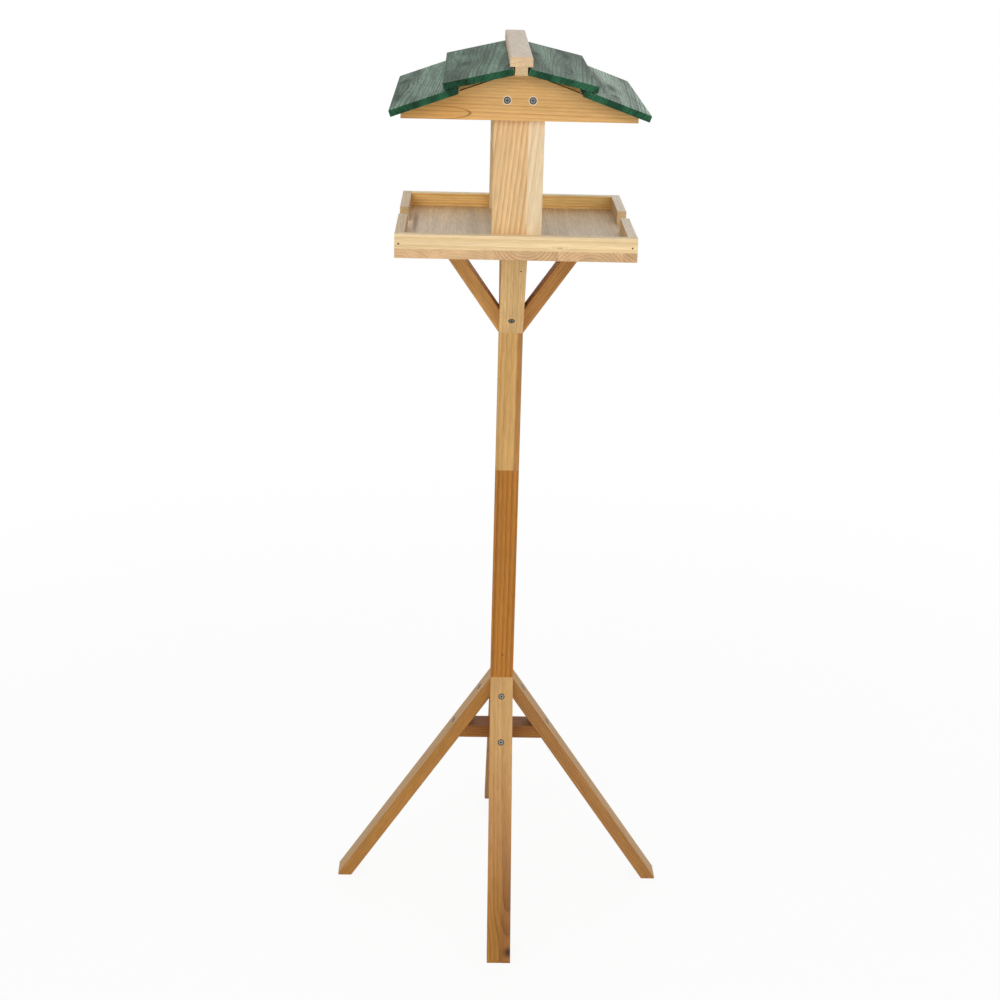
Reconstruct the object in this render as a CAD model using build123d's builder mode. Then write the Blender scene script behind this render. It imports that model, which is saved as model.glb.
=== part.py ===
"""Wooden bird table on a post: a square tray under a lapped plank roof, four tray braces,
a post in two doweled lengths, and a base of four sloping legs tied by two level braces.

Millimetres, +Z up, front towards -Y. The origin is under the post's axis, on the ground.
Every piece is a separate solid. Pieces meet face to face, and a screw sits in its own clearance.
"""

import os
from math import atan2, cos, degrees, hypot, radians, sin, tan

from build123d import *

# ---------------------------------------------------------------- timber
board = 12.0  # planed board of the tray, uprights and gables
plank = 8.0  # roof plank thickness
plank_width = 85.0
post_size = 32.0  # side of the square post, and the width of every batten
batten = 18.0  # thickness of the legs and braces
eased = 1.2  # rounding along the post and battens
arris = 0.8  # rounding along the boards

# ---------------------------------------------------------------- base
leg_slope = 34.0  # degrees from the vertical
leg_top = 328.0  # height at which a leg's outer face meets the post
foot_blunt = 3.0  # upright cut that takes the point off each foot
post_foot = 250.0  # height of the post's lower end, on top of the level braces

# ---------------------------------------------------------------- post
lower_post_length = 390.0
upper_post_length = 320.0
dowel_diameter = 10.0
dowel_length = 60.0
dowel_clearance = 0.1  # round the dowel
dowel_end_gap = 1.0  # glue room past each end of the dowel

# ---------------------------------------------------------------- tray and its braces
tray_width = 300.0
tray_depth = 300.0
rail_height = 18.0
side_rail_length = 120.0  # each side has two, with a gap between them
brace_slope = 35.0  # degrees from the vertical
brace_drop = 127.0  # from the tray's underside down to a brace's toe

# ---------------------------------------------------------------- uprights and gables
upright_width = 62.0
feeding_height = 158.0  # clear height from the tray floor to the gables
upright_lap = 44.0  # how far an upright reaches up behind its gable
gable_width = 286.0
gable_end_height = 8.5
gable_slope = 19.5  # degrees from the level
apex_width = 18.0  # flat on top of a gable

# ---------------------------------------------------------------- roof
roof_length = 350.0  # front to back
eaves_overhang = 11.0  # a lower plank's edge past the gable's end, measured level
ridge_reach = 1.0  # an upper plank past the gable's apex corner
ridge_strip_width = 15.0
ridge_strip_height = 10.0
ridge_cap_width = 27.0
ridge_cap_thickness = 11.5
ridge_cap_edge = 2.5  # rounding along the cap

# ---------------------------------------------------------------- screws
screw_diameter = 4.0
screw_head_diameter = 8.0
screw_length = 28.0  # short enough for the four screws that meet inside the post
gable_screw_length = 22.0  # stops inside the upright
screw_clearance = 0.05  # round a screw
recess_width = 1.2  # cross recess in a screw's head
recess_span = 4.4
recess_depth = 1.4
leg_screw_drop = 23.0  # from a leg's top down to its upper screw
brace_screw_rise = 20.0  # from a tray brace's toe up to its screw
gable_screw_spacing = 31.0
gable_screw_rise = 24.0  # above the gable's lower edge

# ---------------------------------------------------------------- worked-out heights
half_post = post_size / 2
post_joint = post_foot + lower_post_length
tray_z = post_joint + upper_post_length
floor_top = tray_z + board
gable_z = floor_top + feeding_height

# ---------------------------------------------------------------- directions and planes
UP = Vector(0, 0, 1)
FRONT, LEFT, BACK, RIGHT = Vector(0, -1, 0), Vector(-1, 0, 0), Vector(0, 1, 0), Vector(1, 0, 0)
SIDES = {"front": FRONT, "left": LEFT, "back": BACK, "right": RIGHT}


def upright_plane(outward):
    """Upright plane through the post's axis: X runs outward, Y runs up."""
    return Plane(origin=(0, 0, 0), x_dir=outward, z_dir=outward.cross(UP))


def leaning(outward, slope):
    """Direction that leans from outward towards up, by the slope in degrees."""
    return outward * cos(radians(slope)) + UP * sin(radians(slope))


def ease_along(builder, direction, radius):
    """Round the piece's edges that run along a direction."""
    fillet(builder.edges().filter_by(Axis((0, 0, 0), direction)), radius)


# ---------------------------------------------------------------- screws and the holes they need
def screw_shape(length, room=0.0):
    """Countersunk screw pointing down, its head flush at the origin. With room round it, its hole."""
    radius, head = screw_diameter / 2 + room, screw_head_diameter / 2 + room
    with BuildPart() as shape:
        with BuildSketch(Plane.XZ):
            with BuildLine():
                Polyline(
                    (0, 0),
                    (head, 0),
                    (radius, radius - head),
                    (radius, -length - room),
                    (0, -length - room),
                    close=True,
                )
            make_face()
        revolve(axis=Axis.Z)
        if room == 0.0:
            with BuildSketch():
                Rectangle(recess_span, recess_width)
                Rectangle(recess_width, recess_span)
            extrude(amount=-recess_depth, mode=Mode.SUBTRACT)
    return shape.part


def screw_set(length, places):
    """Named set of equal screws. A place is a point on a surface and the surface's outward direction."""
    planes = [Plane(origin=point, z_dir=outward) for point, outward in places]
    return {"planes": planes, "screw": screw_shape(length), "hole": screw_shape(length, screw_clearance)}


def bore_for(*screw_sets):
    """Cut the holes of the named sets of screws from the piece in hand."""
    for screws in screw_sets:
        with Locations(*screws["planes"]):
            add(screws["hole"], mode=Mode.SUBTRACT)


leg_tan = tan(radians(leg_slope))
leg_cut = batten / sin(radians(leg_slope))  # height of a leg's cut against the post
brace_tan = tan(radians(brace_slope))
brace_cut = batten / sin(radians(brace_slope))
brace_toe = tray_z - brace_drop
screw_height = post_foot - batten / 2  # where a leg's lower screw enters the level brace
leg_inside = half_post + (leg_top - leg_cut - screw_height) * leg_tan  # a leg's inner face at that height

leg_top_screws = screw_set(
    screw_length,
    [
        (
            way * (half_post + leg_screw_drop * leg_tan) + UP * (leg_top - leg_screw_drop),
            leaning(way, leg_slope),
        )
        for way in SIDES.values()
    ],
)
leg_foot_screws = screw_set(
    screw_length,
    [
        (
            way * leg_inside + UP * screw_height + leaning(way, leg_slope) * batten,
            leaning(way, leg_slope),
        )
        for way in SIDES.values()
    ],
)
brace_screws = screw_set(
    screw_length,
    [
        (
            way * (half_post + brace_screw_rise * brace_tan) + UP * (brace_toe + brace_screw_rise),
            leaning(way, -brace_slope),
        )
        for way in SIDES.values()
    ],
)
gable_screws = screw_set(
    gable_screw_length,
    [
        (
            way * (tray_depth / 2) + RIGHT * (across / 2) + UP * (gable_z + gable_screw_rise),
            way,
        )
        for way in (FRONT, BACK)
        for across in (-gable_screw_spacing, gable_screw_spacing)
    ],
)

made = {}


def keep(name, builder):
    """Label a finished piece and put it on the list to export."""
    builder.part.label = name
    made[name] = builder.part


# ---------------------------------------------------------------- base: four legs
leg_reach = half_post + (leg_top - foot_blunt) * leg_tan
leg_heel = half_post + (leg_top - leg_cut) * leg_tan

for name, way in SIDES.items():
    with BuildPart() as leg:
        with BuildSketch(upright_plane(way)):
            with BuildLine():
                Polyline(
                    (half_post, leg_top),
                    (leg_reach, foot_blunt),
                    (leg_reach, 0),
                    (leg_heel, 0),
                    (half_post, leg_top - leg_cut),
                    close=True,
                )
            make_face()
        extrude(amount=half_post, both=True)
        ease_along(leg, way * leg_tan - UP, eased)
        bore_for(leg_top_screws, leg_foot_screws)
    keep(f"leg_{name}", leg)

# ---------------------------------------------------------------- base: level braces, halved together
level_top_reach = half_post + (leg_top - leg_cut - post_foot) * leg_tan
level_bottom_reach = level_top_reach + batten * leg_tan


def level_brace(way, notch_floor):
    """Brace between two opposite legs, its middle notched by half from a height upward."""
    with BuildPart() as brace:
        with BuildSketch(upright_plane(way)):
            with BuildLine():
                Polyline(
                    (-level_top_reach, post_foot),
                    (level_top_reach, post_foot),
                    (level_bottom_reach, post_foot - batten),
                    (-level_bottom_reach, post_foot - batten),
                    close=True,
                )
            make_face()
        extrude(amount=half_post, both=True)
        with BuildSketch(Plane.XY.offset(notch_floor)):
            Rectangle(post_size, post_size)
        extrude(amount=batten / 2, mode=Mode.SUBTRACT)
        bore_for(leg_foot_screws)
    return brace


keep("level_brace_across", level_brace(RIGHT, post_foot - batten))
keep("level_brace_along", level_brace(BACK, post_foot - batten / 2))


# ---------------------------------------------------------------- post in two lengths, and its dowel
def post_length(foot, length, joint_faces):
    """Length of square post, bored for the dowel at the joint."""
    with BuildPart() as piece:
        with BuildSketch(Plane.XY.offset(foot)):
            Rectangle(post_size, post_size)
        extrude(amount=length)
        ease_along(piece, UP, eased)
        with Locations(Plane(origin=(0, 0, post_joint), z_dir=joint_faces)):
            Hole(dowel_diameter / 2 + dowel_clearance, depth=dowel_length / 2 + dowel_end_gap)
        bore_for(leg_top_screws, brace_screws)
    return piece


keep("post_lower", post_length(post_foot, lower_post_length, UP))
keep("post_upper", post_length(post_joint, upper_post_length, -UP))

with BuildPart() as post_dowel:
    with BuildSketch(Plane.XY.offset(post_joint - dowel_length / 2)):
        Circle(dowel_diameter / 2)
    extrude(amount=dowel_length)
keep("post_dowel", post_dowel)

# ---------------------------------------------------------------- tray braces
for name, way in SIDES.items():
    with BuildPart() as tray_brace:
        with BuildSketch(upright_plane(way)):
            with BuildLine():
                Polyline(
                    (half_post, brace_toe),
                    (half_post + brace_drop * brace_tan, tray_z),
                    (half_post + (brace_drop - brace_cut) * brace_tan, tray_z),
                    (half_post, brace_toe + brace_cut),
                    close=True,
                )
            make_face()
        extrude(amount=half_post, both=True)
        ease_along(tray_brace, way * brace_tan + UP, eased)
        bore_for(brace_screws)
    keep(f"tray_brace_{name}", tray_brace)

# ---------------------------------------------------------------- tray
with BuildPart() as tray_floor:
    with BuildSketch(Plane.XY.offset(tray_z)):
        Rectangle(tray_width, tray_depth)
    extrude(amount=board)
    fillet(tray_floor.faces().sort_by(Axis.Z)[0].edges().filter_by(Axis.X), arris)
keep("tray_floor", tray_floor)


def rail(x, y, width, depth):
    """Straight rail on the tray floor, centred at x and y, with its top arrises eased."""
    with BuildPart() as piece:
        with BuildSketch(Plane.XY.offset(floor_top)):
            with Locations((x, y)):
                Rectangle(width, depth)
        extrude(amount=rail_height)
        along = Axis.X if width > depth else Axis.Y
        fillet(piece.faces().sort_by(Axis.Z)[-1].edges().filter_by(along), arris)
    return piece


front_y, side_x = (tray_depth - board) / 2, (tray_width - board) / 2
keep("rail_front", rail(0, -front_y, tray_width, board))
keep("rail_back", rail(0, front_y, tray_width - 2 * board, board))
for name, x in {"left": -side_x, "right": side_x}.items():
    side_front_y = board + (side_rail_length - tray_depth) / 2  # behind the front rail
    side_back_y = (tray_depth - side_rail_length) / 2  # past the end of the back rail
    keep(f"rail_{name}_front", rail(x, side_front_y, board, side_rail_length))
    keep(f"rail_{name}_back", rail(x, side_back_y, board, side_rail_length))

# ---------------------------------------------------------------- uprights and gables
half_gable, half_apex = gable_width / 2, apex_width / 2
gable_tan = tan(radians(gable_slope))
apex_height = gable_end_height + (half_gable - half_apex) * gable_tan
gable_y = (tray_depth - board) / 2  # to the middle of a gable, in line with the tray's rails
upright_y = gable_y - board  # against the gable's inner face

for name, way in {"front": FRONT, "back": BACK}.items():
    with BuildPart() as upright:
        with BuildSketch(Plane.XY.offset(floor_top)):
            with Locations((0, way.Y * upright_y)):
                Rectangle(upright_width, board)
        extrude(amount=feeding_height + upright_lap)
        ease_along(upright, UP, arris)
        bore_for(gable_screws)
    keep(f"upright_{name}", upright)

    with BuildPart() as gable:
        with BuildSketch(Plane(origin=way * gable_y + UP * gable_z, x_dir=RIGHT, z_dir=FRONT)):
            with BuildLine():
                Polyline(
                    (0, 0),
                    (half_gable, 0),
                    (half_gable, gable_end_height),
                    (half_apex, apex_height),
                    (0, apex_height),
                )
                mirror(about=Plane.YZ)
            make_face()
        extrude(amount=board / 2, both=True)
        fillet(gable.faces().sort_by(Axis.Z)[0].edges().filter_by(Axis.X), arris)
        bore_for(gable_screws)
    keep(f"gable_{name}", gable)

# ---------------------------------------------------------------- roof planks
# The right half's section, as (x, height above the gables' lower edge). A lower plank lies along
# the gable. An upper plank rests on the gable's apex corner and on the lower plank's top corner.
up_gable = Vector(-cos(radians(gable_slope)), sin(radians(gable_slope)))
off_gable = Vector(sin(radians(gable_slope)), cos(radians(gable_slope)))
eaves_corner = Vector(half_gable + eaves_overhang, gable_end_height - eaves_overhang * gable_tan)
lap_corner = eaves_corner + up_gable * plank_width + off_gable * plank
apex_corner = Vector(half_apex, apex_height)
lap_run = lap_corner - apex_corner
lap_slope = degrees(atan2(-lap_run.Y, lap_run.X))
ridge_corner = apex_corner - lap_run * (ridge_reach / hypot(lap_run.X, lap_run.Y))


def roof_plank(side, corner, slope, up_the_slope):
    """Plank the length of the roof. Its lower face runs from the corner, up or down the slope."""
    run = Vector(side * cos(radians(slope)), 0, -sin(radians(slope)))
    section = Plane(origin=(side * corner.X, 0, gable_z + corner.Y), x_dir=run, z_dir=(0, -side, 0))
    edge = Align.MAX if up_the_slope else Align.MIN
    with BuildPart() as piece:
        with BuildSketch(section):
            Rectangle(plank_width, plank, align=(edge, Align.MIN))
        extrude(amount=roof_length / 2, both=True)
        outer_edges = piece.edges().filter_by(Axis.Y).sort_by(Axis.X)
        fillet(outer_edges[-2:] if side > 0 else outer_edges[:2], arris)
    return piece


for name, side in {"left": -1, "right": 1}.items():
    keep(f"roof_plank_lower_{name}", roof_plank(side, eaves_corner, gable_slope, True))
    keep(f"roof_plank_upper_{name}", roof_plank(side, ridge_corner, lap_slope, False))

# ---------------------------------------------------------------- ridge
with BuildPart() as ridge_strip:
    with BuildSketch(Plane.XY.offset(gable_z + apex_height)):
        Rectangle(ridge_strip_width, roof_length)
    extrude(amount=ridge_strip_height)
keep("ridge_strip", ridge_strip)

with BuildPart() as ridge_cap:
    with BuildSketch(Plane.XY.offset(gable_z + apex_height + ridge_strip_height)):
        Rectangle(ridge_cap_width, roof_length)
    extrude(amount=ridge_cap_thickness)
    fillet(ridge_cap.faces().sort_by(Axis.Z)[-1].edges().filter_by(Axis.Y), ridge_cap_edge)
keep("ridge_cap", ridge_cap)

# ---------------------------------------------------------------- screws, one node for each set
screw_sets = {
    "leg_top_screws": leg_top_screws,
    "leg_foot_screws": leg_foot_screws,
    "brace_screws": brace_screws,
    "gable_screws": gable_screws,
}
for name, screws in screw_sets.items():
    with BuildPart() as screw_group:
        with Locations(*screws["planes"]):
            add(screws["screw"])
    keep(name, screw_group)

# ---------------------------------------------------------------- export
os.makedirs("parts", exist_ok=True)
for name, part in made.items():
    export_step(part, f"parts/{name}.step")
top = ridge_cap.part.bounding_box().max.Z
print(f"{len(made)} nodes, {top:.1f} mm tall, feet reach {leg_reach:.1f} mm from the post's axis")
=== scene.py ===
# %% [markdown]
# # A wooden bird table, built and finished in Blender
# The table is a small piece of joinery: a square tray on a post, four sloping legs, and a lapped
# plank roof held up by two boards. Its timber pieces already exist as exact solids, so this lesson
# is about what they lack: grain that follows each piece of wood, a worn green stain, zinc screws
# and nail heads, soft studio light, and a camera.

# %% Load the solids
import math
from functools import partial

import bmesh
import bpy
from mathutils import Matrix, Vector


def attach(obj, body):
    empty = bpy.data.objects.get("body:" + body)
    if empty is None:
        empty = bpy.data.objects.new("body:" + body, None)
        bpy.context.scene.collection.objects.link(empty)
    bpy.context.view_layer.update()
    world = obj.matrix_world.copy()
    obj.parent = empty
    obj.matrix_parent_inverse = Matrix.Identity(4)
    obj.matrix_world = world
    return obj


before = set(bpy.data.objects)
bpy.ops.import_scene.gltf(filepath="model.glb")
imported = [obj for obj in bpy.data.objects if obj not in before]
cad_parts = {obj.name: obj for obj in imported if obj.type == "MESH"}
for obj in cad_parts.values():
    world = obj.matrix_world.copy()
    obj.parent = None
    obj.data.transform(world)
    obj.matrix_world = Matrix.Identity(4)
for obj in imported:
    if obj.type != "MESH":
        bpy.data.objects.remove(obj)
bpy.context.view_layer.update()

# %% [markdown]
# ## Colours and nodes
# Colours are easiest to pick as sRGB hex values, which is what screens and paint charts use, but
# shaders mix light in linear values, so one function converts them. A second function adds a
# shader node of any kind, sets it up and links it in one line, which keeps long materials readable.
# Two nodes turn up so often that their settings have names: a smooth step from one value to
# another, and a mix of two colours.


# %% Colour and node helpers
SMOOTH = {"interpolation_type": "SMOOTHSTEP"}
COLOURS = {"data_type": "RGBA", "output": 2}


def linear(hex_value):
    """sRGB hex value as a linear RGBA colour, by the standard's own curve."""
    channels = [int(hex_value[i : i + 2], 16) / 255 for i in (0, 2, 4)]
    return [c / 12.92 if c <= 0.04045 else ((c + 0.055) / 1.055) ** 2.4 for c in channels] + [1.0]


def add_node(tree, kind, inputs=(), output=0, **settings):
    """Add a node and return one of its outputs.

    The inputs are values, or outputs to link, in the order of the sockets, or by name or number.
    """
    node = tree.nodes.new("ShaderNode" + kind)
    for name, value in settings.items():
        setattr(node, name, value)
    for socket, value in inputs.items() if isinstance(inputs, dict) else enumerate(inputs):
        if isinstance(value, bpy.types.NodeSocket):
            tree.links.new(value, node.inputs[socket])
        else:
            node.inputs[socket].default_value = value
    return node.outputs[output]


def new_material(name):
    """Empty material: the material, its Principled shader, and add_node for its tree."""
    material = bpy.data.materials.new(name)
    material.use_nodes = True
    tree = material.node_tree
    return material, tree.nodes["Principled BSDF"], partial(add_node, tree)


print("white is", linear("ffffff"), "and mid grey is", linear("808080"))

# %% [markdown]
# ## How wood grain is made
# A tree grows a pale band each spring and a dark one each summer, so timber is a stack of tapering
# tubes round the pith. A board is a slice through them: its face shows long lines and loops, and
# its end shows arcs. Painting lines on each face would never agree at the corners. It is better to
# ask of every point how far it lies from the pith, and to colour it by that distance. The faces,
# edges and ends then agree without any unwrapping. Knots and other marks need a distance too, each
# from its own centre, and an oval mark needs one that counts less along its length.


# %% Distances
def distance_to(node, place, centre, size):
    """Distance from a centre, measured in a size that may differ by axis: 1 is on the ellipsoid."""
    size = (size, size, size) if isinstance(size, float) else size
    away = node("VectorMath", (place, centre), operation="SUBTRACT")
    away = node("VectorMath", (away, size), operation="DIVIDE")
    return node("VectorMath", (away,), "Value", operation="LENGTH")


print("distances ready")

# %% [markdown]
# ## Boards in a wide panel
# A panel like the tray's floor is glued up from boards, and each board has a pith of its own. So the
# place across the panel is wrapped board by board, like a ruler that starts again at every joint.
# A random number for each board then says how deep its pith lies, which changes the arcs on its
# end from wide to narrow.


# %% Boards
def board_by_board(node, from_pith, board_mm):
    """Wrap a place from board to board: the wrapped place and each board's own chance."""
    board, seed = board_mm / 1000, 13.0
    most_sunk, least_sunk = 0.140, -0.035  # how far a board's pith lies under the panel's
    x, y, z = [node("SeparateXYZ", (from_pith,), axis) for axis in range(3)]
    inside = node("Math", (x, board / 2, -board / 2), operation="WRAP")
    number = node("Math", (node("Math", (x, board), operation="DIVIDE"), 0.5), operation="ADD")
    number = node("Math", (node("Math", (number,), operation="FLOOR"), seed), operation="ADD")
    chance = node("TexWhiteNoise", {"W": number}, "Value", noise_dimensions="1D")
    sunk = node("MapRange", (chance, 0.0, 1.0, most_sunk, least_sunk))
    height = node("Math", (z, sunk), operation="ADD")
    return node("CombineXYZ", (inside, y, height)), chance


print("boards ready")

# %% [markdown]
# ## Inside one ring
# The distance from the pith, divided by the width of a ring, counts the rings. Its whole part is the
# year, and its fraction is the place inside that year's ring. The dark wood sets in slowly and stops
# sharply, so a soft band and a thin line are drawn together, and a softness weighs the band. Some
# years are darker than others.


# %% Rings
def ring_darkness(node, rings, softness, contrast):
    """Share of dark wood at a point, from its count of rings."""
    within = node("Math", (rings,), operation="FRACT")
    band = node("MapRange", (within, 0.25, 0.9, 0.0, softness), **SMOOTH)
    line = node("MapRange", (within, 0.84, 0.92, 0.0, 1.0), **SMOOTH)
    dark = node("Math", (band, line), operation="MAXIMUM")
    stop = node("MapRange", (within, 0.95, 1.0, 1.0, 0.0), **SMOOTH)
    dark = node("Math", (dark, stop), operation="MULTIPLY")
    year = node("Math", (rings,), operation="FLOOR")
    chance = node("TexWhiteNoise", {"W": year}, "Value", noise_dimensions="1D")
    weight = node("MapRange", (chance, 0.0, 1.0, 0.35, 1.0))
    dark = node("Math", (dark, weight), operation="MULTIPLY")
    return node("Math", (dark, contrast), operation="MULTIPLY")


print("rings ready")

# %% [markdown]
# ## Bent rings and fibres
# A point's place is split into the part along the grain and the part across it. Noise that is
# stretched along the grain bends the rings, and finer noise draws the fibres. Real softwood has
# rings 2 to 4 mm wide. Its fibres are far finer than a render can show, so they are drawn about
# 1.5 mm wide here. The rings swing round a knot, so the count is pushed up near one.


# %% Grain
def grain_fields(node, grain, pith, ring_mm, taper, wander_mm, softness, board_mm, knots, knot_sway):
    """Fields of a piece of timber: place, stretched place, ring darkness, fibre and board shade."""
    sway_mm, fibre_mm = 36, 1.5
    squeeze = 0.07  # along the grain, so that noise is drawn out 14 times
    knot_push = 1.4  # rings
    place = node("TexCoord", output="Object")
    from_pith = node("VectorMath", (place, pith), operation="SUBTRACT")
    contrast = board_shade = 1.0
    if board_mm:
        from_pith, chance = board_by_board(node, from_pith, board_mm)
        board_shade = node("MapRange", (chance, 0.0, 1.0, 1.04, 0.96))
        contrast = node("MapRange", (chance, 0.1, 0.8, 0.4, 1.0))
    along = node("VectorMath", (from_pith, grain), "Value", operation="DOT_PRODUCT")
    lengthwise = node("VectorMath", {0: grain, "Scale": along}, operation="SCALE")
    across = node("VectorMath", (from_pith, lengthwise), operation="SUBTRACT")
    squeezed = node("VectorMath", {0: lengthwise, "Scale": squeeze}, operation="SCALE")
    stretched = node("VectorMath", (across, squeezed), operation="ADD")

    sway = node("TexNoise", {"Vector": stretched, "Scale": 1000 / sway_mm, "Detail": 2.0}, "Color")
    sway = node("VectorMath", (sway, (0.5, 0.5, 0.5)), operation="SUBTRACT")
    sway = node("VectorMath", {0: sway, "Scale": wander_mm / 1000 * 2}, operation="SCALE")
    bent = node("VectorMath", (across, sway), operation="ADD")
    radius = node("VectorMath", (bent,), "Value", operation="LENGTH")
    radius = node("Math", (along, taper, radius), operation="MULTIPLY_ADD")
    rings = node("Math", (radius, ring_mm / 1000), operation="DIVIDE")
    for centre, size in knots:
        far = distance_to(node, place, centre, size)
        push = node("MapRange", (far, 0.5, knot_sway, knot_push, 0.0), **SMOOTH)
        rings = node("Math", (rings, push), operation="ADD")

    ring = ring_darkness(node, rings, softness, contrast)
    fibre = node("TexNoise", {"Vector": stretched, "Scale": 1000 / fibre_mm, "Detail": 2.0})
    return place, stretched, ring, fibre, board_shade


print("grain ready")

# %% [markdown]
# ## Tones and spots
# The same pine looks different from piece to piece: sapwood is pale, heartwood is brown, and what
# faces the sky is greyer. So a piece starts from two ring colours, and a list of tones takes over
# past some place or on faces that look some way. Knots, stray holes and the crushed pale fibres
# round a screw are spots. A loop is the thin line that the top of a ring leaves in a board's face,
# and it is drawn as the edge of a flat ellipsoid that the face cuts through.


# %% Tones and spots
def toned(node, place, ring, early, late, tones):
    """Ring colours of a piece, with the tones that take over from them."""
    facing = node("TexCoord", output="Normal")
    colour = node("Mix", {0: ring, 6: linear(early), 7: linear(late)}, **COLOURS)
    for kind, direction, at, blend, tone_early, tone_late in tones:
        measured = place if kind == "place" else facing
        measured = node("VectorMath", (measured, direction), "Value", operation="DOT_PRODUCT")
        share = node("MapRange", (measured, at - blend, at + blend, 0.0, 1.0), **SMOOTH)
        tone = node("Mix", {0: ring, 6: linear(tone_early), 7: linear(tone_late)}, **COLOURS)
        colour = node("Mix", {0: share, 6: colour, 7: tone}, **COLOURS)
    return colour


def spotted(node, place, colour, spots, hex_value, strength, core, rim):
    """Colour with spots on it, each at its full strength up to the core and gone at the rim."""
    for centre, size in spots:
        far = distance_to(node, place, centre, size)
        near = node("MapRange", (far, core, rim, strength, 0.0), **SMOOTH)
        colour = node("Mix", {0: near, 6: colour, 7: linear(hex_value)}, **COLOURS)
    return colour


def looped(node, place, colour, loops, hex_value, strength, core, rim):
    """Colour with loops on it, each a line along the edge of an ellipsoid."""
    for centre, size in loops:
        off = node("Math", (distance_to(node, place, centre, size), 1.0), operation="SUBTRACT")
        off = node("Math", (off,), operation="ABSOLUTE")
        near = node("MapRange", (off, core, rim, strength, 0.0), **SMOOTH)
        colour = node("Mix", {0: near, 6: colour, 7: linear(hex_value)}, **COLOURS)
    return colour


print("tones and spots ready")

# %% [markdown]
# ## Finishing the timber
# One function now makes any piece's material, from the fields and the colours. Patches a thumb wide
# make the wood a little darker and lighter, and the fibres do the same more finely. Planed softwood
# scatters light widely: a roughness near 0.6, an IOR of 1.5, and little shine. Its dark wood is
# denser, so it stands slightly proud and shines a little more.


# %% Timber material
def timber(name, grain, pith, early, late, ring_mm=3.0, taper=0.01, wander_mm=1.5, softness=0.8,
           board_mm=None, tones=(), knots=(), knot_colour="4a2c17", knot_sway=2.6, dots=(), halos=(),
           loops=(), blotch=0.10, fibre_depth=0.13, roughness=0.6, shine=0.25):
    """Timber whose rings run round a pith line. Places are in metres and colours are hex values.

    A tone is (kind, direction, at, blend, early, late): kind "place" takes over where the place lies
    further than at along the direction, and kind "facing" where the surface looks that way. Knots,
    dots, halos and loops are lists of (centre, size), where a size may differ by axis.
    """
    patch_mm, relief_depth = 22, 0.0004
    material, shader, node = new_material(name)
    place, stretched, ring, fibre, board_shade = grain_fields(
        node, grain.normalized(), pith, ring_mm, taper, wander_mm, softness, board_mm,
        knots, knot_sway)
    colour = toned(node, place, ring, early, late, tones)
    patches = node("TexNoise", {"Vector": stretched, "Scale": 1000 / patch_mm, "Detail": 3.0})
    shade = node("MapRange", (patches, 0.25, 0.75, 1 - blotch, 1 + blotch), **SMOOTH)
    fibres = node("MapRange", (fibre, 0.2, 0.8, 1 - fibre_depth, 1 + fibre_depth), **SMOOTH)
    shade = node("Math", (shade, fibres), operation="MULTIPLY")
    shade = node("Math", (shade, board_shade), operation="MULTIPLY")
    colour = node("VectorMath", {0: colour, "Scale": shade}, operation="SCALE")
    colour = spotted(node, place, colour, knots, knot_colour, strength=0.85, core=0.1, rim=1.0)
    colour = spotted(node, place, colour, halos, "f6ead2", strength=0.75, core=1.0, rim=1.3)
    # Dots are holes, and their dark colour is painted shade.
    colour = spotted(node, place, colour, dots, "1d120a", strength=1.0, core=0.7, rim=1.0)
    colour = looped(node, place, colour, loops, "8f5f2e", strength=0.8, core=0.01, rim=0.055)

    relief = node("Math", (ring, 0.5, fibre), operation="MULTIPLY_ADD")
    bump = node("Bump", {"Height": relief, "Strength": 0.35, "Distance": relief_depth})
    dullness = node("MapRange", (ring, 0.0, 1.0, roughness + 0.04, roughness - 0.08))
    links = material.node_tree.links
    links.new(colour, shader.inputs["Base Color"])
    links.new(bump, shader.inputs["Normal"])
    links.new(dullness, shader.inputs["Roughness"])
    shader.inputs["IOR"].default_value = 1.5
    shader.inputs["Specular IOR Level"].default_value = shine
    return material


print("timber material ready")

# %% [markdown]
# ## Measure the solids
# The marks have to meet the joinery, so the sizes that they share with it are measured on the solids
# and not written down a second time. Blender keeps a box of eight corners for every object. The
# first is the lowest in all three directions, and the seventh is the highest. The directions get
# names too: the table's front looks along -Y.

# %% Directions and measures
UP, RIGHT, BACK = Vector((0, 0, 1)), Vector((1, 0, 0)), Vector((0, 1, 0))
LEFT, FRONT = -RIGHT, -BACK


def box_corner(solid, number):
    """One of the eight corners of a solid's box, in metres."""
    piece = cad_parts[solid]
    return piece.matrix_world @ Vector(piece.bound_box[number])


def low(solid):
    """Lowest corner of a solid's box."""
    return box_corner(solid, 0)


def high(solid):
    """Highest corner of a solid's box."""
    return box_corner(solid, 6)


print("the roof's top is at", high("ridge_cap").z)

# %% [markdown]
# ## The post, in two lengths
# The upper length is pale sapwood with a browner edge, and the lower one is honey-brown heartwood.
# The fibres run up the post, so the grain direction is straight up. A pith beyond the right-hand
# side gives the front face near-parallel lines. A stray pilot hole on the lower length is only
# a dark dot of painted shade, so it is part of the colour.


# %% Post
def finish(solid, material):
    """Give a solid its material."""
    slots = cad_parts[solid].data.materials
    slots.clear()
    slots.append(material)


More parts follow.
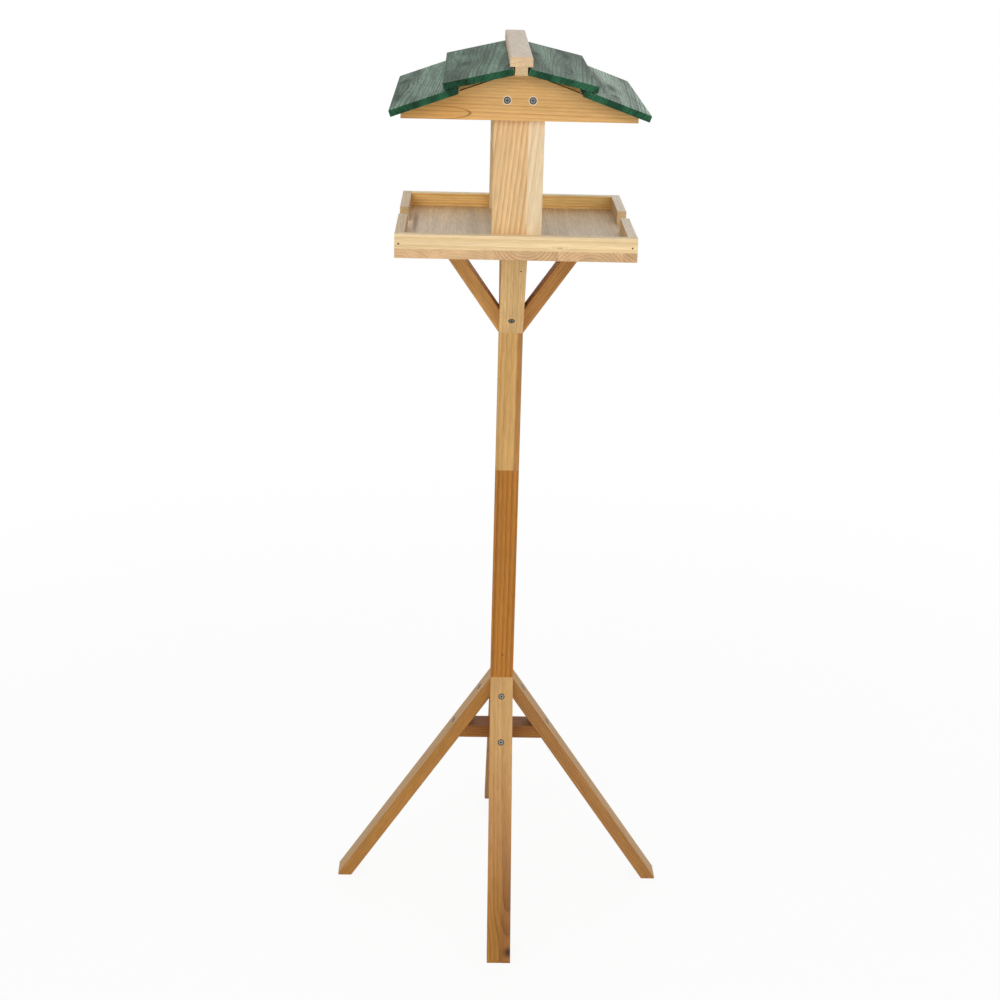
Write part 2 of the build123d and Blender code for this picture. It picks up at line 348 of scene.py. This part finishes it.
half_post = high("post_upper").x
# The pilot hole's dark dot is painted shade.
pilot_hole = ((0.0, -half_post, 0.363), 0.0013)
browner_edge = ("place", RIGHT, 0.0085, 0.0015, "b4824c", "9b6a32")
finish("post_upper", timber(
    "pale_pine_post", UP, (0.030, 0.055, 0.8), "cba062", "b6874c",
    ring_mm=3.2, taper=0.004, tones=[browner_edge]))
finish("post_lower", timber(
    "brown_pine_post", UP, (0.052, 0.020, 0.4), "b7782d", "8a521a",
    ring_mm=5.4, taper=0.004, dots=[pilot_hole]))
finish("post_dowel", timber(
    "beech_dowel", UP, (0.02, 0.02, 0.6), "d9b98b", "c9a574", ring_mm=1.6))
print("post finished, pilot hole at", pilot_hole[0])

# %% [markdown]
# ## Four ways and a slope
# The joinery is the same on the table's four sides, so a loop over four level ways does each kind of
# batten. A leg slopes at 34 degrees from the vertical, and its grain follows that slope, not the
# room's axes. A place on it is given by how far it lies below the leg's top.

# %% Ways and slopes
WAYS = {"front": FRONT, "left": LEFT, "back": BACK, "right": RIGHT}
right_angle = math.pi / 2
leg_slope = math.radians(34)
leg_top = high("leg_front").z
batten = high("level_brace_across").z - low("level_brace_across").z


def leaning(way, angle):
    """Direction that leans from a level way towards up, by an angle."""
    return way * math.cos(angle) + UP * math.sin(angle)


def on_leg(way, drop):
    """Middle of a leg's outer face, at a height below the leg's top."""
    return way * (half_post + drop * math.tan(leg_slope)) + UP * (leg_top - drop)


print(f"legs {leg_top * 1000:.0f} mm high, of battens {batten * 1000:.0f} mm thick")

# %% [markdown]
# ## Legs
# The legs are planed pine under brown oil, which deepens the rings, and what looks at the sky is
# paler. A leg's pith is given by how far it lies off the leg's middle, outwards and sideways.
# The front leg is pale at its top and browner towards its foot, partly in the wood's own colour and
# partly as painted light that falls off downwards, and it has one dark knot there.


# %% Legs
def sky_facing_tone(early, late):
    """Tone of the faces that look at the sky."""
    return ("facing", UP, 0.35, 0.15, early, late)


middle_drop = 0.123  # from the leg's top to its middle
leg_tones = {
    "front": ("ac7731", "8e5b1e"),
    "left": ("b17d3e", "96632a"),
    "back": ("a87843", "8c5f30"),
    "right": ("ad7b43", "855527"),
}
leg_knot = ((0.0135, -0.2285, 0.0125), 0.0105)
front_leg_tones = [
    ("place", RIGHT, 0.003, 0.003, "97622f", "734619"),
    # Paler towards the top: partly the wood's own colour, partly painted light falling off downwards.
    ("place", UP, 0.10, 0.07, "bb8954", "aa7740"),
    ("place", UP, 0.22, 0.08, "d0a46b", "be9156"),
]
leg_piths = {
    "front": (-0.026, -0.012),
    "left": (0.045, 0.022),
    "back": (0.03, 0.03),
    "right": (0.045, -0.030),
}
for name, way in WAYS.items():
    outward = leaning(way, leg_slope)
    off_middle, sideways = leg_piths[name]
    pith = on_leg(way, middle_drop) + outward * (off_middle - batten / 2)
    pith += way.cross(UP) * sideways
    early, late = leg_tones[name]
    finish(f"leg_{name}", timber(
        f"oiled_pine_leg_{name}", leaning(way, leg_slope - right_angle), pith, early, late,
        ring_mm=2.6, taper=0.006,
        tones=front_leg_tones if name == "front" else [sky_facing_tone("c09a6d", "a58356")],
        knots=[leg_knot] if name == "front" else [], knot_colour="2c180c", knot_sway=7.0))
print("legs finished, knot at", leg_knot[0])

# %% [markdown]
# ## Braces
# The tray braces are the same battens, cut at 35 degrees from the vertical. The front one is nearly as
# pale as the post behind it. The two level braces between the legs are the darkest of the brown
# pieces, and a little paler on top.

# %% Braces
brace_slope = math.radians(35)
brace_tones = {
    "front": ("d7b17a", "c69d60"),
    "left": ("c89555", "a9793d"),
    "back": ("b8864d", "986a35"),
    "right": ("bb864a", "925f2b"),
}
for name, way in WAYS.items():
    pith = way * 0.10 + UP * 0.90 + way.cross(UP) * 0.03
    early, late = brace_tones[name]
    finish(f"tray_brace_{name}", timber(
        f"pine_brace_{name}", leaning(way, right_angle - brace_slope), pith, early, late,
        ring_mm=2.4, taper=0.004))
level_braces = {"across": (RIGHT, (0, 0.03, 0.20)), "along": (BACK, (0.03, 0, 0.20))}
for name, (grain, pith) in level_braces.items():
    finish(f"level_brace_{name}", timber(
        f"brown_pine_{name}", grain, pith, "96612a", "744618",
        ring_mm=2.8, tones=[sky_facing_tone("aa7444", "885931")]))
print("braces finished")

# %% [markdown]
# ## Tray
# The floor is a panel of edge-glued boards whose grain runs front to back, so its front edge is end
# grain and shows arcs that change from board to board. The rails are planed strips. What lies flat
# is greyer than what stands up. The floor is the greyest, most of all towards the front, and a dark
# streak of heartwood runs along its left side. The back rail's inner face is strongly ringed, and
# its colours are brightened with painted light against the shade under the roof, most of all on its
# right-hand part.

# %% Tray
half_tray, floor_top = high("tray_floor").x, high("tray_floor").z
rail = high("rail_front").y - low("rail_front").y
dark_streak = ((-0.129, 0.02, floor_top), (0.006, 0.10, 0.02))
floor_tones = [
    sky_facing_tone("e6c191", "cca474"),
    ("place", FRONT, -0.05, 0.10, "eed8bc", "d4bca3"),
    ("facing", FRONT, 0.5, 0.1, "d8b387", "b68654"),
]
finish("tray_floor", timber(
    "pine_tray_floor", BACK, (0.012, 0, 0.990), "dbb88b", "c08a58",
    ring_mm=4.2, taper=0.012, wander_mm=2.0, board_mm=80, tones=floor_tones,
    knots=[dark_streak], knot_colour="93693f", blotch=0.14))
rail_mark = ((0.054, -half_tray, floor_top + 0.0045), (0.006, 0.003, 0.0012))
finish("rail_front", timber(
    "pale_rail_front", RIGHT, (0, -0.130, 0.9050), "ebcfa1", "d6b682",
    ring_mm=9.3, taper=0.004, wander_mm=0.8, fibre_depth=0.08,
    tones=[sky_facing_tone("f0d8b0", "e2c89c")], knots=[rail_mark], knot_colour="b08a5a"))
# The back rail's ring colours are brightened past the wood's own as painted light against the shade
# under the roof, and the paler tone on its right-hand part is painted light too.
finish("rail_back", timber(
    "ringed_rail_back_painted_light", RIGHT, (0, 0.158, 0.945), "ffd689", "e49b4d", ring_mm=3.4, taper=0.004,
    tones=[("place", RIGHT, 0.02, 0.03, "ffdb91", "f9ae5b"), sky_facing_tone("f7e6c2", "e6c699")]))
side_tops = {"left": ("e3c8a7", "d1b590"), "right": ("f0e0c9", "dcc8ae")}
for name, side in {"left": -1, "right": 1}.items():
    for end, y in {"front": -0.1, "back": 0.1}.items():
        pith = (side * 1.2 * (half_tray - rail / 2), y, 0.95 + y * 0.1)
        finish(f"rail_{name}_{end}", timber(
            f"pale_rail_{name}_{end}", BACK, pith, "d6b789", "bd965f",
            ring_mm=3.0, tones=[sky_facing_tone(*side_tops[name])]))
print("tray finished")

# %% [markdown]
# ## Uprights and gables
# Each upright is glued up from two strips, so a paler one runs down its right side behind a sharp
# glue line. Its wide soft rings lean, because the grain runs a few degrees off the edges. Each
# gable is a flat-sawn board with long, nearly straight lines. Near its left end the saw just
# touched the top of one ring, and a ring cut like that shows as a long thin loop. The fibres round
# its two screws are crushed pale.

# %% Uprights and gables
screw_aside, halo = 0.0155, 0.0046
screw_height = (low("gable_screws").z + high("gable_screws").z) / 2
gable_screw_places = [(-screw_aside, screw_height), (screw_aside, screw_height)]
# The back upright's inner face looks to the front into the shade under the roof, and its paler tone
# there is painted light.
inner_face_painted_light = {"front": [], "back": [("facing", FRONT, 0.5, 0.1, "f6dcb2", "e2bd88")]}
for name, turn in {"front": 1, "back": -1}.items():
    face = -half_tray * turn
    paler_strip = ("place", RIGHT * turn, 0.0115, 0.0003, "edd4ad", "d4b488")
    finish(f"upright_{name}", timber(
        f"pine_upright_{name}", UP + RIGHT * 0.10 * turn, (0.03 * turn, face * 0.75, 1.0),
        "e8c28e", "bd8b53", ring_mm=5.2, taper=0.004, wander_mm=3.0, softness=0.6,
        fibre_depth=0.11, tones=[paler_strip, *inner_face_painted_light[name]]))
    halos = [((x, face, z), halo) for x, z in gable_screw_places]
    loop = ((-0.1135 * turn, face, 1.138), (0.054, 1.0, 0.0085))
    finish(f"gable_{name}", timber(
        f"honey_gable_{name}", RIGHT * turn, (0, face * 0.75, 1.095), "e0b070", "b47f44",
        ring_mm=3.6, taper=0.014, wander_mm=1.6, softness=0.4, halos=halos, loops=[loop],
        fibre_depth=0.10, tones=[("place", LEFT * turn, 0.06, 0.03, "dda55e", "b17738")]))
print("uprights and gables finished")

# %% [markdown]
# ## Green roof
# The planks wear a thin green stain. It stays deep on the edges, ends and undersides. On top, sun
# and rain have worn it to a grey green, and the rings show through because soft spring wood loses
# stain faster. The same timber function does this: the deep pair is the stain, and the weathered
# pair is its worn version. Knots and bruised fibres take up more stain, so they stay darker, and each
# plank has a few, drawn out along the grain. The planks are rough and hardly shine.

# %% Roof planks and ridge
planks = {
    "lower_left": ((-0.190, 0, 1.110), -0.05, "7d9283", "253a2d"),
    "upper_left": ((0.010, 0, 1.150), 0.03, "6e8576", "22362b"),
    "upper_right": ((0.115, 0, 1.120), 0.04, "6c7f72", "22352b"),
    "lower_right": ((0.200, 0, 1.090), 0.05, "8f9f92", "34473b"),
}
knot_depth = 0.014
plank_knots = {
    "lower_left": [((-0.146, 0.080, 1.146), 0.014, 0.040), ((-0.149, -0.080, 1.145), 0.008, 0.080)],
    "upper_left": [((-0.068, -0.012, 1.181), 0.014, 0.040), ((-0.069, 0.120, 1.181), 0.004, 0.060),
                   ((-0.089, -0.062, 1.176), 0.004, 0.012)],
    "upper_right": [((0.023, 0.027, 1.191), 0.010, 0.050), ((0.066, 0.100, 1.181), 0.008, 0.060),
                    ((0.064, -0.080, 1.182), 0.004, 0.040)],
    "lower_right": [((0.119, -0.020, 1.156), 0.010, 0.060), ((0.118, -0.110, 1.156), 0.008, 0.020)],
}
for name, (pith, taper, early, late) in planks.items():
    knots = [(centre, (across, along, knot_depth)) for centre, across, along in plank_knots[name]]
    finish(f"roof_plank_{name}", timber(
        f"green_stained_{name}", BACK, pith, "27533a", "193a28",
        ring_mm=4.2, taper=taper, wander_mm=4.0, tones=[sky_facing_tone(early, late)],
        knots=knots, knot_colour="2c3f35", blotch=0.60, fibre_depth=0.34,
        roughness=0.75, shine=0.1))
finish("ridge_cap", timber(
    "grey_topped_ridge_cap", BACK, (0.004, 0, 1.150), "debf98", "c9a378",
    ring_mm=2.6, taper=0.006, tones=[sky_facing_tone("c9baa7", "b7a691")]))
finish("ridge_strip", timber(
    "pine_ridge_strip", BACK, (0.006, 0, 1.170), "dabd93", "ba9a6c", ring_mm=2.4))
print("roof finished")

# %% [markdown]
# ## Screws
# The screws are zinc-plated steel, a soft dark grey metal that is a little uneven from handling. A
# metal keeps the default IOR. Noise in the roughness and the colour stops them from looking like
# mirrors.


# %% Zinc screws
def mottled(name, dark, light, roughness, metallic, grain_mm=1.2):
    """Two colours in a fine speckle, for small metal pieces and marks."""
    material, shader, node = new_material(name)
    place = node("TexCoord", output="Object")
    noise = node("TexNoise", {"Vector": place, "Scale": 1000 / grain_mm, "Detail": 3.0})
    colour = node("Mix", {0: noise, 6: linear(dark), 7: linear(light)}, **COLOURS)
    dullness = node("MapRange", (noise, 0.3, 0.7, roughness - 0.08, roughness + 0.08))
    material.node_tree.links.new(colour, shader.inputs["Base Color"])
    material.node_tree.links.new(dullness, shader.inputs["Roughness"])
    shader.inputs["Metallic"].default_value = metallic
    return material


zinc = mottled("zinc_plated_steel", "62686b", "a9aca8", 0.44, 1.0)
for screws in ("leg_top_screws", "leg_foot_screws", "brace_screws", "gable_screws"):
    finish(screws, zinc)
print("screws finished")

# %% [markdown]
# ## Where the screws and nails are
# Every leg has two screws and every tray brace has one, and each gable has two. Round wire nails
# close the front rail's corners and hold the braces' upper ends, and only their heads show. A place
# is a point on the wood and the direction that looks out of it, and both come from the slopes.

# %% Places
upper_screw_drop, brace_screw_rise = 0.023, 0.020
brace_nail_rise, nail_aside = 0.099, 0.009
brace_toe = low("tray_brace_front").z
level_middle = (low("level_brace_across").z + high("level_brace_across").z) / 2
lower_screw_drop = leg_top - level_middle - batten * math.sin(leg_slope)


def on_brace(way, rise):
    """Middle of a tray brace's outer face, at a height above the brace's toe."""
    return way * (half_post + rise * math.tan(brace_slope)) + UP * (brace_toe + rise)


screw_heads, brace_nails = [], []
for way in WAYS.values():
    off_leg, off_brace = leaning(way, leg_slope), leaning(way, -brace_slope)
    screw_heads.append((on_leg(way, upper_screw_drop), off_leg))
    screw_heads.append((on_leg(way, lower_screw_drop), off_leg))
    screw_heads.append((on_brace(way, brace_screw_rise), off_brace))
    brace_nails.append((on_brace(way, brace_nail_rise) - way.cross(UP) * nail_aside, off_brace))
for way in (FRONT, BACK):
    screw_heads += [(way * half_tray + RIGHT * x + UP * z, way) for x, z in gable_screw_places]
rail_nails = [(Vector((x, -half_tray, floor_top + 0.006)), FRONT) for x in (-0.145, 0.1435)]
print(len(screw_heads), "screw heads,", len(brace_nails) + len(rail_nails), "nail heads")

# %% [markdown]
# ## Nail heads and painted shadow rims
# A nail head is a low dome of dull steel, 2 mm across. Round each screw head lies a narrow dark rim
# of painted shadow, where the head sits in its hole. Both are round, so one function turns a small
# profile about an axis at each place, as on a lathe. A face looks to the side from which its corners
# run counter-clockwise, so the order of the corners makes every face look out of the wood. Every
# group is one mesh.


# %% Turned pieces
def ride_along(name, mesh, material):
    """Turn a bmesh into a piece of the object."""
    data = bpy.data.meshes.new(name)
    mesh.to_mesh(data)
    mesh.free()
    data.materials.append(material)
    piece = bpy.data.objects.new(name, data)
    bpy.context.scene.collection.objects.link(piece)
    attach(piece, "root")
    return piece


def turned(name, places, profile, material, steps=24):
    """Revolve a profile of (radius, height) in metres about each place's outward axis.

    The profile runs from its outer edge inwards, so that the faces look out of the wood.
    """
    angles = [2 * math.pi * step / steps for step in range(steps)]
    mesh = bmesh.new()
    for point, outward in places:
        aim = outward.to_track_quat("Z", "Y").to_matrix()
        rows = []
        for radius, height in profile:
            ring = [Vector((math.cos(a) * radius, math.sin(a) * radius, height)) for a in angles]
            corners = ring if radius else [Vector((0, 0, height))]
            rows.append([mesh.verts.new(point + aim @ corner) for corner in corners])
        for lower, upper in zip(rows, rows[1:]):
            for step in range(steps):
                after = (step + 1) % steps
                top = [upper[0]] if len(upper) == 1 else [upper[after], upper[step]]
                mesh.faces.new([lower[step], lower[after], *top])
    piece = ride_along(name, mesh, material)
    piece.data.shade_smooth()
    return piece


dull_steel = mottled("dull_nail_steel", "2b241e", "4d443a", 0.55, 0.9)
rim_shadow = mottled("painted_shadow_rim", "1d150d", "38291a", 0.75, 0.0)
dome = [(0.0011, 0.0), (0.00107, 0.00013), (0.0009, 0.00024), (0.0005, 0.0003), (0.0, 0.00031)]
# The rim is painted shadow round the edge of each screw head.
rim = [(0.0044, 0.00002), (0.0039, 0.0001), (0.0031, 0.00002)]
rail_heads = turned("rail_nail_heads", rail_nails, dome, dull_steel)
brace_heads = turned("brace_nail_heads", brace_nails, dome, dull_steel)
shadow_rims = turned("screw_shadow_rims", screw_heads, rim, rim_shadow)
for piece in (rail_heads, brace_heads, shadow_rims):
    print(piece.name, len(piece.data.polygons), "faces")

# %% [markdown]
# ## Painted shade in the screw heads
# The cross in a screw head is a deep recess that lies in shade. The shade is painted as a flat dark
# cross with twelve corners, a little smaller than the recess and lying in it, so that it never
# touches the head's own faces.


# %% Crosses
def crosses(name, places, span, width, depth, material):
    """Flat cross of painted shade lying in each place's recess, at a depth under the surface."""
    long, short = span / 2, width / 2
    arm = [(long, -short), (long, short), (short, short)]
    turns = [Matrix.Rotation(right_angle * quarter, 3, "Z") for quarter in range(4)]
    outline = [turn @ Vector((x, y, -depth)) for turn in turns for x, y in arm]
    mesh = bmesh.new()
    for point, outward in places:
        aim = outward.to_track_quat("Z", "Y").to_matrix()
        mesh.faces.new([mesh.verts.new(point + aim @ corner) for corner in outline])
    return ride_along(name, mesh, material)


# The dark cross is painted shade in the recess.
recess_shade = mottled("painted_shade_in_screw_recess", "24211d", "403c37", 0.8, 0.0)
marks = crosses("screw_recess_painted_shade", screw_heads, span=0.0042, width=0.0009, depth=0.0006,
                material=recess_shade)
print(marks.name, len(marks.data.polygons), "faces")

# %% [markdown]
# ## Floor
# The studio has a wide pale floor, whose paint has a faint mottle as broad as a hand. It looks white
# to the camera because most of it glows, but only for the rays that come from the camera or from a
# reflection, so the object gets no extra light from it. Less of it glows near the object, where its
# soft shadow falls, than far off, where the lamps no longer reach.


# %% Floor
def seen_directly(node):
    """1 for the camera and for reflections and refractions, 0 for light that falls on the object."""
    seen = 0.0
    for ray in ("Is Camera Ray", "Is Glossy Ray", "Is Transmission Ray"):
        seen = node("Math", (seen, node("LightPath", output=ray)), operation="MAXIMUM")
    return seen


half_floor, mottle_mm = 40.0, 160
shadow_reach, glow_reach = 0.7, 2.2  # metres from the middle of the table
glow_near, glow_far = 0.9, 1.0  # how much of the floor glows there
corners = [(x * half_floor, y * half_floor, 0) for x, y in ((-1, -1), (1, -1), (1, 1), (-1, 1))]
floor_mesh = bpy.data.meshes.new("studio_floor")
floor_mesh.from_pydata(corners, [], [(0, 1, 2, 3)])
floor = bpy.data.objects.new("studio_floor", floor_mesh)
bpy.context.scene.collection.objects.link(floor)
floor_material, shader, node = new_material("white_studio_floor")
floor_place = node("TexCoord", output="Object")
mottle = node("TexNoise", {"Vector": floor_place, "Scale": 1000 / mottle_mm})
paint = node("Mix", {0: mottle, 6: linear("f6f6f5"), 7: linear("fafaf9")}, **COLOURS)
glow = node("Emission", {"Color": linear("ffffff"), "Strength": 1.0})
off_middle = distance_to(node, floor_place, (0, 0, 0), 1.0)
share = node("MapRange", (off_middle, shadow_reach, glow_reach, glow_near, glow_far), **SMOOTH)
share = node("Math", (seen_directly(node), share), operation="MULTIPLY")
links = floor_material.node_tree.links
links.new(paint, shader.inputs["Base Color"])
shader.inputs["Roughness"].default_value = 0.9
mixed = node("MixShader", (share, shader.outputs[0], glow))
links.new(mixed, floor_material.node_tree.nodes["Material Output"].inputs["Surface"])
floor_mesh.materials.append(floor_material)
print("floor", 2 * half_floor, "m wide")

# %% [markdown]
# ## Light
# The sky is even and white. The camera sees it at full strength, and the object gets less from it, so
# that three large soft lamps can shape it: two in front, on the left and on the right, give the front
# faces a slight lead over the sides, and a weaker one behind keeps the back readable.

# %% Light
sky_strength, white_strength = 0.62, 1.0
world = bpy.data.worlds.new("white_studio")
bpy.context.scene.world = world
world.use_nodes = True
node = partial(add_node, world.node_tree)
background = world.node_tree.nodes["Background"]
strength = node("MapRange", (seen_directly(node), 0.0, 1.0, sky_strength, white_strength))
world.node_tree.links.new(strength, background.inputs["Strength"])
background.inputs["Color"].default_value = linear("ffffff")


def soft_lamp(name, place, target, size, watts):
    """Square area lamp that looks at a target."""
    lamp = bpy.data.lights.new(name, "AREA")
    lamp.size = size
    lamp.energy = watts
    holder = bpy.data.objects.new(name, lamp)
    holder.location = place
    holder.rotation_euler = (Vector(target) - Vector(place)).to_track_quat("-Z", "Y").to_euler()
    bpy.context.scene.collection.objects.link(holder)


middle = (0, 0, 0.7)
soft_lamp("key_lamp", (-1.6, -3.1, 2.6), middle, size=1.8, watts=29)
soft_lamp("fill_lamp", (1.9, -3.1, 1.7), middle, size=2.2, watts=27)
soft_lamp("back_lamp", (0.6, 3.4, 2.4), middle, size=2.4, watts=24)

# %% [markdown]
# ## Camera
# The camera stands 2.3 m in front of the post and a little to its left, at 1.43 m, and looks down
# by about 20 degrees through a 64 mm lens. Three plain turns aim it: tip up from straight down,
# swing round the vertical, and a slight roll about its own line of sight.

# %% Camera
stand = (-0.0620, -2.2977, 1.4255)
pan, tip, roll = math.radians(1.334), math.radians(19.955), math.radians(-1.46)
camera = bpy.data.cameras.new("studio_camera")
camera.sensor_width, camera.lens = 36.0, 63.59
viewer = bpy.data.objects.new("studio_camera", camera)
viewer.matrix_world = (
    Matrix.Translation(stand)
    @ Matrix.Rotation(-pan, 4, "Z")
    @ Matrix.Rotation(right_angle - tip, 4, "X")
    @ Matrix.Rotation(-roll, 4, "Z")
)
bpy.context.scene.collection.objects.link(viewer)
bpy.context.scene.camera = viewer
bpy.context.scene.view_settings.view_transform = "Standard"
print("camera at", tuple(viewer.location))
